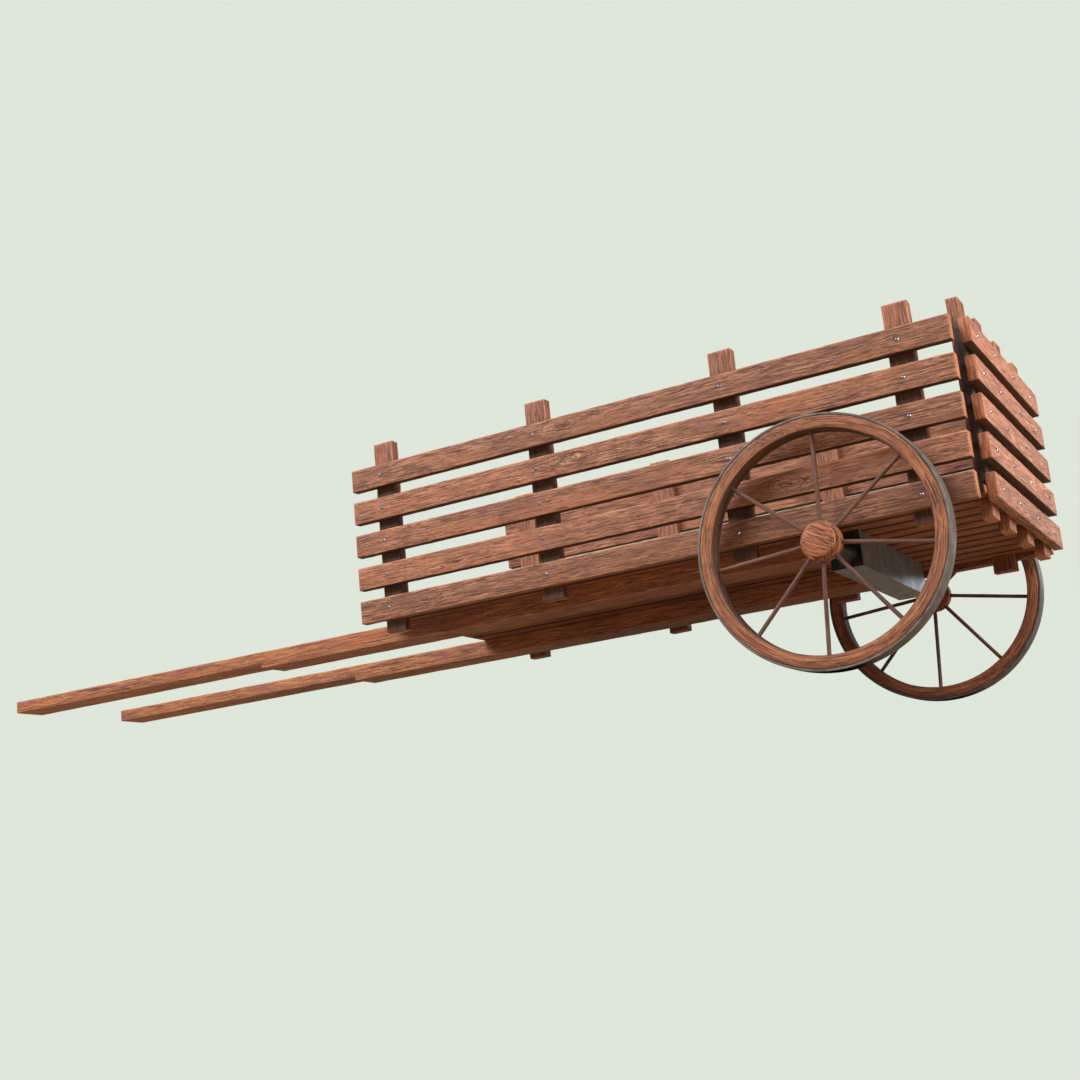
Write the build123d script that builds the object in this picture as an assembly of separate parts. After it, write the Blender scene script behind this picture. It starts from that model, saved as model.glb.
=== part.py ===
from build123d import *
import os

# Two-wheeled slatted hand cart with two long shafts.
# +X runs from the handles to the rear wall, +Y to the cart's right, +Z up.
# The origin is on the ground, at the middle of the length and width.

# Wheels
WHEEL_DIAMETER = 711.0
TYRE_THICKNESS = 6.4
RIM_DEPTH = 37.2
RIM_WIDTH = 57.0
SPOKE_RADIUS = 6.0
SPOKE_ANGLES = (-175.4, -133.7, -94.5, -52.8, -11.0, 38.0, 87.5, 139.7)
SPOKE_OFFSET = 32.0
SPOKE_TENON = 13.0
HUB_RADIUS = 55.5
HUB_START = 16.0
HUB_LENGTH = 36.0
NAVE_RADIUS = 40.0
NAVE_LENGTH = 28.0
HUB_CAP_RADIUS = 46.7
HUB_CAP_LENGTH = 16.5
HUB_CAP_RECESS = 8.0
WHEEL_CLEARANCE = 31.0

# Axle
JOURNAL_RADIUS = 14.0
STUB_RADIUS = 27.0
PLATE_THICKNESS = 6.0
BEAM_WIDTH = 92.0
BEAM_HEIGHT = 105.0
BEAM_WALL = 5.0
BEAM_ABOVE_AXLE = 67.5
AXLE_BEHIND_BEAM = 10.0
NUT_ACROSS_FLATS = 41.0
NUT_THICKNESS = 14.0
WASHER_RADIUS = 25.0
WASHER_THICKNESS = 3.0
NUT_RECESS = 2.0
JOURNAL_PROUD = 2.0
COUNTERBORE_CLEARANCE = 2.0

# Shafts
SHAFT_LENGTH = 3300.0
HANDLE_LENGTH = 1211.0
SHAFT_WIDTH = 128.0
SHAFT_GAP = 427.0
SHAFT_DEPTH = 58.5
HANDLE_DEPTH = 44.0

# Walls
BODY_WIDTH = 1030.0
SIDE_SLAT_LENGTH = 1999.0
SIDE_SLAT_BEHIND_AXLE = 418.5
REAR_WALL_CLEARANCE = 31.5
REAR_FACE_BEHIND_AXLE = 459.0
SLAT_THICKNESS = 30.0
SLAT_HEIGHT = 74.5
SLAT_PITCH = 111.0
SLAT_COUNT = 5
SLAT_BELOW_FLOOR = 18.0
POST_WIDTH = 74.0
POST_THICKNESS = 35.0
POST_LENGTH = 638.0
POST_BELOW_FLOOR = 56.0
SIDE_POST_FRONT_INSET = 113.0
SIDE_POST_REAR_INSET = 148.0
SIDE_POST_SPREAD = (0.0, 0.334, 0.695, 1.0)
REAR_POST_LEFT_INSET = 86.0
REAR_POST_RIGHT_INSET = 113.0
REAR_POST_SPREAD = (0.0, 0.298, 0.644, 1.0)

# Floor
FLOOR_THICKNESS = 22.0
FLOOR_BOARD_COUNT = 11
FLOOR_BOARD_GAP = 2.0
FLOOR_SETBACK = 23.0
CLEAT_WIDTH = 60.0
CLEAT_THICKNESS = 25.0
CLEAT_END_DISTANCE = 26.0

# Fasteners
SCREW_HEAD_RADIUS = 6.0
SCREW_HEAD_HEIGHT = 3.2
SCREW_RADIUS = 2.5
SCREW_TIP_RADIUS = 0.4
SCREW_RECESS_LENGTH = 6.4
SCREW_RECESS_WIDTH = 1.3
SCREW_RECESS_DEPTH = 1.4
WALL_SCREW_LENGTH = 57.0
FLOOR_SCREW_LENGTH = 42.0
SHAFT_SCREW_LENGTH = 80.0
BOLT_RADIUS = 5.0
BOLT_HEAD_RADIUS = 11.0
BOLT_HEAD_HEIGHT = 5.0
BOLT_NUT_THICKNESS = 8.0
BOLT_NUT_ACROSS_FLATS = 17.0
BOLT_PROUD = 3.0

# Fits and edges
SEAT_GAP = 0.3
RUNNING_GAP = 0.05
EDGE = 1.5
CUT_MARGIN = 1.0

# Places worked out from the sizes
wheel_radius = WHEEL_DIAMETER / 2
axle_z = wheel_radius
floor_z = axle_z + BEAM_ABOVE_AXLE
floor_top = floor_z + FLOOR_THICKNESS
cleat_top = floor_top + CLEAT_THICKNESS

beam_front = -AXLE_BEHIND_BEAM - BEAM_WIDTH / 2
overall_length = SHAFT_LENGTH + REAR_FACE_BEHIND_AXLE - beam_front
axle_x = overall_length / 2 - REAR_FACE_BEHIND_AXLE
beam_x = axle_x - AXLE_BEHIND_BEAM
shaft_rear = axle_x + beam_front
shaft_front = shaft_rear - SHAFT_LENGTH
step_x = shaft_front + HANDLE_LENGTH

slat_rear = axle_x + SIDE_SLAT_BEHIND_AXLE
slat_front = slat_rear - SIDE_SLAT_LENGTH
rear_wall_face = axle_x + REAR_FACE_BEHIND_AXLE - SLAT_THICKNESS
rear_post_face = rear_wall_face - POST_THICKNESS
floor_front = slat_front + FLOOR_SETBACK
wall_outer = BODY_WIDTH / 2
wall_inner = wall_outer - SLAT_THICKNESS
post_inner = wall_inner - POST_THICKNESS
post_z = floor_z - POST_BELOW_FLOOR
beam_half = SHAFT_GAP / 2 + SHAFT_WIDTH
plate_inner = beam_half - PLATE_THICKNESS

side_post_first = slat_front + SIDE_POST_FRONT_INSET
side_post_span = slat_rear - SIDE_POST_REAR_INSET - side_post_first
side_posts = [side_post_first + side_post_span * share for share in SIDE_POST_SPREAD]
rear_wall_half = wall_inner - REAR_WALL_CLEARANCE
rear_post_first = REAR_POST_LEFT_INSET - rear_wall_half
rear_post_span = rear_wall_half - REAR_POST_RIGHT_INSET - rear_post_first
rear_posts = [rear_post_first + rear_post_span * share for share in REAR_POST_SPREAD]
slat_levels = [floor_z - SLAT_BELOW_FLOOR + SLAT_PITCH * row for row in range(SLAT_COUNT)]

board_total = 2 * wall_inner - FLOOR_BOARD_GAP * (FLOOR_BOARD_COUNT - 1)
board_width = board_total / FLOOR_BOARD_COUNT
board_pitch = board_width + FLOOR_BOARD_GAP
board_centres = [
    (number - (FLOOR_BOARD_COUNT - 1) / 2) * board_pitch
    for number in range(FLOOR_BOARD_COUNT)
]
rear_cleat_x = rear_post_face - CLEAT_WIDTH / 2
cleat_places = side_posts + [rear_cleat_x]
shaft_y = SHAFT_GAP / 2 + SHAFT_WIDTH / 2

rim_outer_radius = wheel_radius - TYRE_THICKNESS - SEAT_GAP
rim_inner_radius = rim_outer_radius - RIM_DEPTH
rim_start = wall_outer + WHEEL_CLEARANCE
nave_start = rim_start + HUB_START - NAVE_LENGTH
hub_start = rim_start + HUB_START
hub_end = hub_start + HUB_LENGTH
cap_end = hub_end + HUB_CAP_LENGTH
washer_start = hub_end - NUT_RECESS - NUT_THICKNESS - WASHER_THICKNESS
nut_start = washer_start + WASHER_THICKNESS
journal_end = hub_end + JOURNAL_PROUD
counterbore_radius = WASHER_RADIUS + COUNTERBORE_CLEARANCE

parts = {}


def timber(x_range, y_range, z_range, edge=EDGE):
    """A sawn piece between three pairs of faces, with its edges eased."""
    size = [high - low for low, high in (x_range, y_range, z_range)]
    middle = [(low + high) / 2 for low, high in (x_range, y_range, z_range)]
    piece = Box(*size)
    piece = chamfer(piece.edges(), edge)
    return Pos(*middle) * piece


def cutter(x_range, y_range, z_range):
    """A plain block between three pairs of faces, for cutting."""
    size = [high - low for low, high in (x_range, y_range, z_range)]
    middle = [(low + high) / 2 for low, high in (x_range, y_range, z_range)]
    return Pos(*middle) * Box(*size)


def around(middle, width):
    """The pair of faces that lie half a width to each side of a middle."""
    return middle - width / 2, middle + width / 2


def mirrored_range(side, near, far):
    """A pair of distances from the centre plane, on the left or the right."""
    return tuple(sorted((side * near, side * far)))


def rod(radius, start, end):
    """A round bar along +Z from one height to another."""
    bar = Cylinder(radius, end - start, align=(Align.CENTER, Align.CENTER, Align.MIN))
    return Pos(0, 0, start) * bar


def hexagon(across_flats, start, end):
    """A hexagonal prism along +Z from one height to another."""
    outline = RegularPolygon(across_flats / 2, 6, major_radius=False)
    return Pos(0, 0, start) * extrude(outline, end - start)


def domed_head(radius, height):
    """A low round head that sits on the plane z = 0 with a cross recess."""
    ball = (radius**2 + height**2) / (2 * height)
    dome = Pos(0, 0, height - ball) * Sphere(ball)
    head = dome & rod(2 * radius, 0, 2 * height)
    recess_z = height - SCREW_RECESS_DEPTH / 2
    slot = Box(SCREW_RECESS_LENGTH, SCREW_RECESS_WIDTH, SCREW_RECESS_DEPTH)
    cross = slot + Rot(0, 0, 90) * slot
    return head - Pos(0, 0, recess_z) * cross


def screw(length):
    """A screw with its head above z = 0 and its shank below."""
    tip = 2 * SCREW_RADIUS
    shank = rod(SCREW_RADIUS, tip - length, 0)
    upward = (Align.CENTER, Align.CENTER, Align.MIN)
    point = Cone(SCREW_TIP_RADIUS, SCREW_RADIUS, tip, align=upward)
    return domed_head(SCREW_HEAD_RADIUS, SCREW_HEAD_HEIGHT) + shank + Pos(0, 0, -length) * point


def screw_hole(length):
    """The space that a screw's shank runs in, below z = 0."""
    return rod(SCREW_RADIUS + SEAT_GAP, -length - SEAT_GAP, CUT_MARGIN)


def facing_side(side, x, z):
    """A place on a side wall's outer face, looking out of the wall."""
    return Pos(x, side * wall_outer, z) * Rot(-90 * side, 0, 0)


def facing_rear(y, z):
    """A place on the rear wall's outer face, looking out of the wall."""
    return Pos(rear_wall_face + SLAT_THICKNESS, y, z) * Rot(0, 90, 0)


def wheel_frame(side):
    """The wheel's axis: +Z runs outward from the cart's centre plane."""
    return Pos(axle_x, 0, axle_z) * Rot(-90 * side, 0, 0)


side_screw_places = {
    side: [[facing_side(side, x, level + SLAT_HEIGHT / 2) for level in slat_levels] for x in side_posts]
    for side in (-1, 1)
}
rear_screw_places = [[facing_rear(y, level + SLAT_HEIGHT / 2) for level in slat_levels] for y in rear_posts]
wall_hole = screw_hole(WALL_SCREW_LENGTH)

side_names = {-1: "left", 1: "right"}


def floor_screw_length(x, y):
    """Screws over a shaft are long enough to reach into it."""
    over_shaft = abs(abs(y) - shaft_y) < SHAFT_WIDTH / 2 - SCREW_HEAD_RADIUS
    ahead_of_beam = x < shaft_rear - SCREW_HEAD_RADIUS
    if over_shaft and ahead_of_beam:
        return SHAFT_SCREW_LENGTH
    return FLOOR_SCREW_LENGTH


# The cleats end at the side posts, so the outermost screws stand in from the boards' middles.
outermost_screw = post_inner - CLEAT_END_DISTANCE
screw_lines = [max(-outermost_screw, min(outermost_screw, y)) for y in board_centres]
floor_screws = [
    (Pos(x, y, cleat_top), floor_screw_length(x, y))
    for x in cleat_places
    for y in screw_lines
]
bolt_limit = plate_inner - BOLT_HEAD_RADIUS
bolt_places = [Pos(beam_x, y, floor_top) for y in board_centres if abs(y) < bolt_limit]


def make_shafts():
    """Two planks on the flat, thinner below along the handles."""
    for side in (-1, 1):
        y_range = mirrored_range(side, SHAFT_GAP / 2, SHAFT_GAP / 2 + SHAFT_WIDTH)
        plank = timber((shaft_front, shaft_rear), y_range, (floor_z - SHAFT_DEPTH, floor_z))
        handle = (shaft_front - CUT_MARGIN, step_x)
        wide = (y_range[0] - CUT_MARGIN, y_range[1] + CUT_MARGIN)
        below = (floor_z - SHAFT_DEPTH - CUT_MARGIN, floor_z - HANDLE_DEPTH)
        plank -= cutter(handle, wide, below)
        for place, length in floor_screws:
            if length == SHAFT_SCREW_LENGTH and place.position.Y * side > 0:
                plank -= place * screw_hole(length)
        parts[f"{side_names[side]}_shaft"] = plank


def make_floor():
    """Lengthwise boards, notched round the posts, and the cleats that tie them."""
    notches = []
    through = (floor_z - CUT_MARGIN, floor_top + CUT_MARGIN)
    for x in side_posts:
        for side in (-1, 1):
            y_range = mirrored_range(side, post_inner, wall_inner + CUT_MARGIN)
            notches.append(cutter(around(x, POST_WIDTH), y_range, through))
    for y in rear_posts:
        x_range = (rear_post_face, rear_wall_face + CUT_MARGIN)
        notches.append(cutter(x_range, around(y, POST_WIDTH), through))
    bolt_hole = rod(BOLT_RADIUS + SEAT_GAP, -FLOOR_THICKNESS - CUT_MARGIN, CUT_MARGIN)
    for number, y in enumerate(board_centres, 1):
        board = timber((floor_front, rear_wall_face), around(y, board_width), (floor_z, floor_top))
        low = y - board_width / 2
        high = y + board_width / 2
        for notch in notches:
            box = notch.bounding_box()
            if box.min.Y < high and box.max.Y > low:
                board -= notch
        for place, length in floor_screws:
            if low < place.position.Y < high:
                board -= place * screw_hole(length)
        for place in bolt_places:
            if low < place.position.Y < high:
                board -= place * bolt_hole
        parts[f"floor_board_{number:02d}"] = board
    for number, x in enumerate(cleat_places, 1):
        cleat = timber(around(x, CLEAT_WIDTH), (-post_inner, post_inner), (floor_top, cleat_top))
        for place, length in floor_screws:
            if abs(place.position.X - x) < CLEAT_WIDTH / 2:
                cleat -= place * screw_hole(length)
        parts[f"floor_cleat_{number}"] = cleat


def make_side_walls():
    """Posts inside and slats outside, on the left and on the right."""
    for side in (-1, 1):
        name = side_names[side]
        post_y = mirrored_range(side, post_inner, wall_inner)
        slat_y = mirrored_range(side, wall_inner, wall_outer)
        for number, x in enumerate(side_posts, 1):
            post = timber(around(x, POST_WIDTH), post_y, (post_z, post_z + POST_LENGTH))
            for place in side_screw_places[side][number - 1]:
                post -= place * wall_hole
            parts[f"{name}_post_{number}"] = post
        for row, level in enumerate(slat_levels):
            slat = timber((slat_front, slat_rear), slat_y, (level, level + SLAT_HEIGHT))
            for column in side_screw_places[side]:
                slat -= column[row] * wall_hole
            parts[f"{name}_slat_{row + 1}"] = slat


def make_rear_wall():
    """Posts inside and slats outside, across the rear of the floor."""
    for number, y in enumerate(rear_posts, 1):
        x_range = (rear_post_face, rear_wall_face)
        post = timber(x_range, around(y, POST_WIDTH), (post_z, post_z + POST_LENGTH))
        for place in rear_screw_places[number - 1]:
            post -= place * wall_hole
        parts[f"rear_post_{number}"] = post
    for row, level in enumerate(slat_levels):
        x_range = (rear_wall_face, rear_wall_face + SLAT_THICKNESS)
        slat = timber(x_range, (-rear_wall_half, rear_wall_half), (level, level + SLAT_HEIGHT))
        for column in rear_screw_places:
            slat -= column[row] * wall_hole
        parts[f"rear_slat_{row + 1}"] = slat


def make_axle():
    """A box beam across the shafts' ends, with a flanged stub axle in each end."""
    beam_z = (floor_z - BEAM_HEIGHT, floor_z)
    beam_x_range = around(beam_x, BEAM_WIDTH)
    beam = cutter(beam_x_range, (-plate_inner, plate_inner), beam_z)
    hollow_x = around(beam_x, BEAM_WIDTH - 2 * BEAM_WALL)
    hollow_z = (floor_z - BEAM_HEIGHT + BEAM_WALL, floor_z - BEAM_WALL)
    beam -= cutter(hollow_x, (-beam_half, beam_half), hollow_z)
    bolt_hole = rod(BOLT_RADIUS + SEAT_GAP, -FLOOR_THICKNESS - BEAM_WALL - CUT_MARGIN, CUT_MARGIN)
    for place in bolt_places:
        beam -= place * bolt_hole
    parts["axle_beam"] = beam
    nuts = []
    for side in (-1, 1):
        frame = wheel_frame(side)
        y_range = mirrored_range(side, plate_inner, beam_half)
        stub = cutter(beam_x_range, y_range, beam_z)
        stub += frame * rod(STUB_RADIUS, beam_half, nave_start - SEAT_GAP)
        stub += frame * rod(JOURNAL_RADIUS, nave_start - SEAT_GAP, journal_end)
        parts[f"{side_names[side]}_stub_axle"] = stub
        bore = rod(JOURNAL_RADIUS + RUNNING_GAP, washer_start - CUT_MARGIN, hub_end + HUB_CAP_RECESS)
        washer = rod(WASHER_RADIUS, washer_start, nut_start) - bore
        nut = hexagon(NUT_ACROSS_FLATS, nut_start, nut_start + NUT_THICKNESS) - bore
        nuts += [frame * washer, frame * nut]
    parts["axle_nuts"] = Compound(children=nuts)


def make_wheels():
    """Two spoked wooden wheels with a flat steel tyre each."""
    for side in (-1, 1):
        name = side_names[side]
        frame = wheel_frame(side)
        rim_end = rim_start + RIM_WIDTH
        through = (rim_start - CUT_MARGIN, rim_end + CUT_MARGIN)
        rim = rod(rim_outer_radius, rim_start, rim_end) - rod(rim_inner_radius, *through)
        rim = chamfer(rim.edges(), 2 * EDGE)
        tyre = rod(wheel_radius, rim_start, rim_end) - rod(wheel_radius - TYRE_THICKNESS, *through)
        tyre = chamfer(tyre.edges(), EDGE / 2)
        hub = rod(HUB_RADIUS, hub_start, hub_end) + rod(NAVE_RADIUS, nave_start, hub_start)
        hub = chamfer(hub.edges(), EDGE)
        hub -= rod(JOURNAL_RADIUS + RUNNING_GAP, nave_start - CUT_MARGIN, hub_end + CUT_MARGIN)
        hub -= rod(counterbore_radius, washer_start - SEAT_GAP, hub_end + CUT_MARGIN)
        cap = chamfer(rod(HUB_CAP_RADIUS, hub_end, cap_end).edges(), EDGE)
        recess = rod(JOURNAL_RADIUS + COUNTERBORE_CLEARANCE, hub_end - CUT_MARGIN, hub_end + HUB_CAP_RECESS)
        cap -= recess
        spokes = []
        for angle in SPOKE_ANGLES:
            centre = rim_start + SPOKE_OFFSET
            # The wheel frame's +Y is up on the left and down on the right.
            place = Pos(0, 0, centre) * Rot(0, 0, -side * angle) * Rot(0, 90, 0)
            start = HUB_RADIUS - SPOKE_TENON
            end = rim_inner_radius + SPOKE_TENON
            spokes.append(frame * place * rod(SPOKE_RADIUS, start, end))
            socket = place * rod(SPOKE_RADIUS + SEAT_GAP, start - SEAT_GAP, end + SEAT_GAP)
            rim -= socket
            hub -= socket
        parts[f"{name}_wheel_rim"] = frame * rim
        parts[f"{name}_wheel_tyre"] = frame * tyre
        parts[f"{name}_wheel_spokes"] = Compound(children=spokes)
        parts[f"{name}_wheel_hub"] = frame * hub
        parts[f"{name}_wheel_cap"] = frame * cap


def make_fasteners():
    """Every screw in the walls and floor, and the bolts through the beam."""
    pieces = []
    wall_screw = screw(WALL_SCREW_LENGTH)
    for side in (-1, 1):
        pieces += [place * wall_screw for column in side_screw_places[side] for place in column]
    pieces += [place * wall_screw for column in rear_screw_places for place in column]
    for place, length in floor_screws:
        pieces.append(place * screw(length))
    grip = FLOOR_THICKNESS + BEAM_WALL
    bolt_end = -grip - BOLT_NUT_THICKNESS - BOLT_PROUD
    bolt = domed_head(BOLT_HEAD_RADIUS, BOLT_HEAD_HEIGHT) + rod(BOLT_RADIUS, bolt_end, 0)
    nut = hexagon(BOLT_NUT_ACROSS_FLATS, -grip - BOLT_NUT_THICKNESS, -grip)
    nut -= rod(BOLT_RADIUS + RUNNING_GAP, bolt_end - CUT_MARGIN, 0)
    for place in bolt_places:
        pieces += [place * bolt, place * nut]
    parts["fasteners"] = Compound(children=pieces)


make_shafts()
make_floor()
make_side_walls()
make_rear_wall()
make_axle()
make_wheels()
make_fasteners()

os.makedirs("parts", exist_ok=True)
for node, shape in parts.items():
    export_step(shape, f"parts/{node}.step")
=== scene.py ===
"""The looks of a two-wheeled slatted hand cart: oiled hardwood, steel and zinc plate."""

import logging
import math
from dataclasses import dataclass, field, replace
from enum import Enum

import bmesh
import bpy
from mathutils import Matrix, Vector


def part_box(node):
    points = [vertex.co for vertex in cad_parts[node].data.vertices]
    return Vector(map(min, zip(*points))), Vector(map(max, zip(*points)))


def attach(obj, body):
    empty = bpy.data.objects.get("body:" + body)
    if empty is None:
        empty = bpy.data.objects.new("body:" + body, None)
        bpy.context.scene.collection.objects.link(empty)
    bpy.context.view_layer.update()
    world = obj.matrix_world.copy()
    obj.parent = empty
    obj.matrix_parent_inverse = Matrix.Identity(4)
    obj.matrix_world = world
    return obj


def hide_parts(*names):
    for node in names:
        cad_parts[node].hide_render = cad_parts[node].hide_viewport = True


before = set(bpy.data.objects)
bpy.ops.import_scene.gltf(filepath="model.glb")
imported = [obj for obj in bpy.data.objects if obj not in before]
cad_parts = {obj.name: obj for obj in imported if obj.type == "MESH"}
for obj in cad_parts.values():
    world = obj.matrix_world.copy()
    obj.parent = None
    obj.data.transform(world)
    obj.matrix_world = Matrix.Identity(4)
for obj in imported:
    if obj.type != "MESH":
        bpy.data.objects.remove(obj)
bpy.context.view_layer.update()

MM = 0.001
log = logging.getLogger("cart")

Tree = bpy.types.NodeTree
Socket = bpy.types.NodeSocket
Material = bpy.types.Material
Piece = bpy.types.Object

# What a mix of two colours says beside its inputs.
COLOURS = {"out": 2, "data_type": "RGBA"}
# The radius at which an arc round the axle is measured.
RIM_MIDDLE = 330 * MM
# How far apart two boards' grain can be, as if they came from different stems.
STEM_JUMP = (7.0, 3.0, 5.0)
# How far a stem's bends carry its grain aside.
STEM_SWING = (0.0, 26 * MM, 26 * MM)
# How far the streaks' noise runs from the usual tone to the deepest or lightest.
STREAK_REACH = 0.085
# The share of places without a twig's swirl, and how tight its rings are.
TWIG_RARITY = 0.66
TWIG_RINGS = 95.0
# The half sizes of a branch's eye, and how tight its rings are.
EYE_SIZE = (62 * MM, 90 * MM, 21 * MM)
EYE_RINGS = 17.0
# The size of one saw mark on the end grain.
SAW_STROKE = (5 * MM, 5 * MM, 55 * MM)
# Undersides above this height have another board below them, and get painted shade.
UNDERSIDE_SHADE_FROM = 450 * MM
# How far the dark band at a joint, dirty and with painted shade, stays solid, and
# how far it spreads on faces that look down and up.
PACKED_DIRT_AND_SHADE = 5 * MM
SPREAD_DOWN, SPREAD_UP = 21 * MM, 8 * MM
OILED_WOOD_IOR = 1.5
# Edges that turn by more than this many degrees stay crisp.
CREASE = 42.0
# The fewest cuts along a timber, and how straight an edge runs along it.
FEWEST_CUTS = 4
ALIGNED = 0.9


class Axis(Enum):
    """The three directions of the cart, by their place in a vector."""

    X = 0
    Y = 1
    Z = 2


class Lay(Enum):
    """How the grain of a piece runs."""

    STRAIGHT = "straight"
    AROUND_AXLE = "around the axle"
    OUT_FROM_AXLE = "out from the axle"


class Side(Enum):
    """The cart's two sides, by the sign of Y."""

    LEFT = -1
    RIGHT = 1

    @property
    def word(self) -> str:
        """The side's name as the frame's nodes spell it."""
        return self.name.lower()


# ---------------------------------------------------------------- node helpers


def linear(colour: str) -> tuple[float, float, float, float]:
    """Turn an sRGB hex colour into linear light.

    Args:
        colour: The colour as #rrggbb.

    Returns:
        Linear red, green, blue and a full alpha.
    """
    shares = [int(colour[place:place + 2], 16) / 255 for place in (1, 3, 5)]
    red, green, blue = (
        share / 12.92 if share <= 0.04045 else ((share + 0.055) / 1.055) ** 2.4
        for share in shares
    )
    return red, green, blue, 1.0


def add(
    tree: Tree,
    kind: str,
    links: dict | tuple = (),
    out: int | str = 0,
    stops: list | None = None,
    **settings: object,
) -> Socket | None:
    """Add one node with its settings and links.

    Args:
        tree: The material's node tree.
        kind: The node's type, without the ShaderNode prefix.
        links: The inputs' sockets or values, in order or by name or number.
        out: The output wanted from the node.
        stops: A colour ramp's (place, colour) pairs.
        settings: Attributes of the node.

    Returns:
        The wanted output socket, or nothing from a node without outputs.
    """
    made = tree.nodes.new("ShaderNode" + kind)
    for name, value in settings.items():
        setattr(made, name, value)
    for key, value in links.items() if isinstance(links, dict) else enumerate(links):
        if isinstance(value, Socket):
            tree.links.new(value, made.inputs[key])
        else:
            made.inputs[key].default_value = value
    if stops:
        ramp = made.color_ramp
        while len(ramp.elements) < len(stops):
            ramp.elements.new(0.5)
        for element, (place, colour) in zip(ramp.elements, stops):
            element.position = place
            grey = not isinstance(colour, str)
            element.color = (colour, colour, colour, 1) if grey else linear(colour)
    return made.outputs[out] if len(made.outputs) else None


def start_material(name: str) -> tuple[Material, Tree]:
    """Make an empty node material.

    Args:
        name: The material's name.

    Returns:
        The material and its cleared node tree.
    """
    material = bpy.data.materials.new(name)
    material.use_nodes = True
    material.node_tree.nodes.clear()
    return material, material.node_tree


def close_material(tree: Tree, links: dict) -> None:
    """Add the surface shader and the output.

    Args:
        tree: The material's node tree.
        links: Inputs of the Principled shader.
    """
    add(tree, "OutputMaterial", {"Surface": add(tree, "BsdfPrincipled", links)})


def facing(tree: Tree, axis: Axis) -> Socket:
    """Find how far a face looks along one direction.

    Args:
        tree: The material's node tree.
        axis: The direction.

    Returns:
        The share, from -1 to 1.
    """
    normal = add(tree, "TexCoord", out="Normal")
    return add(tree, "SeparateXYZ", (normal,), out=axis.value)


# -------------------------------------------------------------------- finishes


@dataclass(frozen=True)
class Tones:
    """The colours of one timber, as sRGB hex.

    Attributes:
        crack: Inside a crack or an eye's rings.
        deep: The darkest streaks.
        base: The usual tone.
        light: The palest streaks.
        glow: Broad patches of sapwood.
        blush: Smaller patches of heartwood.
        worn: Rubbed arrises.
        end: Wood cut across the grain.
    """

    crack: str = "#2c150e"
    deep: str = "#573224"
    base: str = "#985d3f"
    light: str = "#c3855f"
    glow: str = "#bb7045"
    blush: str = "#8f594a"
    worn: str = "#cf8f68"
    end: str = "#a9623f"


@dataclass(frozen=True)
class Soil:
    """Painted shade on the faces where shadow falls, between and behind other parts.

    Attributes:
        outward: The direction of the shaded faces, with either sign. On a
        piece whose grain runs around the axle, Y is the way out from it.
        start: Where the painted shade begins, from the cart's middle or the axle.
        end: Where it is full.
        amount: How much of the wood it hides, from 0 to 1.
        top: The height above which the painted shade fades out.
        bottom: The height below which the painted shade fades out.
        fade: The height over which it thins out.
        colour: The painted shade's colour, as sRGB hex.
    """

    outward: Axis
    start: float
    end: float
    amount: float
    top: float = 905 * MM
    bottom: float = -1.0
    fade: float = 40 * MM
    colour: str = "#2a201b"

    def paint_on(self, tree: Tree, colour: Socket, place: Socket) -> Socket:
        """Darken a colour with the painted shade.

        Args:
            tree: The material's node tree.
            colour: The colour of the clean wood.
            place: The coordinates that the painted shade follows.

        Returns:
            The colour with its painted shade.
        """
        across = add(tree, "SeparateXYZ", (place,), out=self.outward.value)
        height = add(tree, "SeparateXYZ", (place,), out=Axis.Z.value)
        away = add(tree, "Math", (across,), operation="ABSOLUTE")
        outer, below, above = (
            add(tree, "MapRange", (measure, start, end, 0.0, full), clamp=True)
            for measure, start, end, full in (
                (away, self.start, self.end, self.amount),
                (height, self.top + self.fade, self.top, 1.0),
                (height, self.bottom - self.fade, self.bottom, 1.0),
            )
        )
        between = add(tree, "Math", (below, above), operation="MULTIPLY")
        mask = add(tree, "Math", (outer, between), operation="MULTIPLY")
        return add(tree, "Mix", {0: mask, 6: colour, 7: linear(self.colour)}, **COLOURS)


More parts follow.
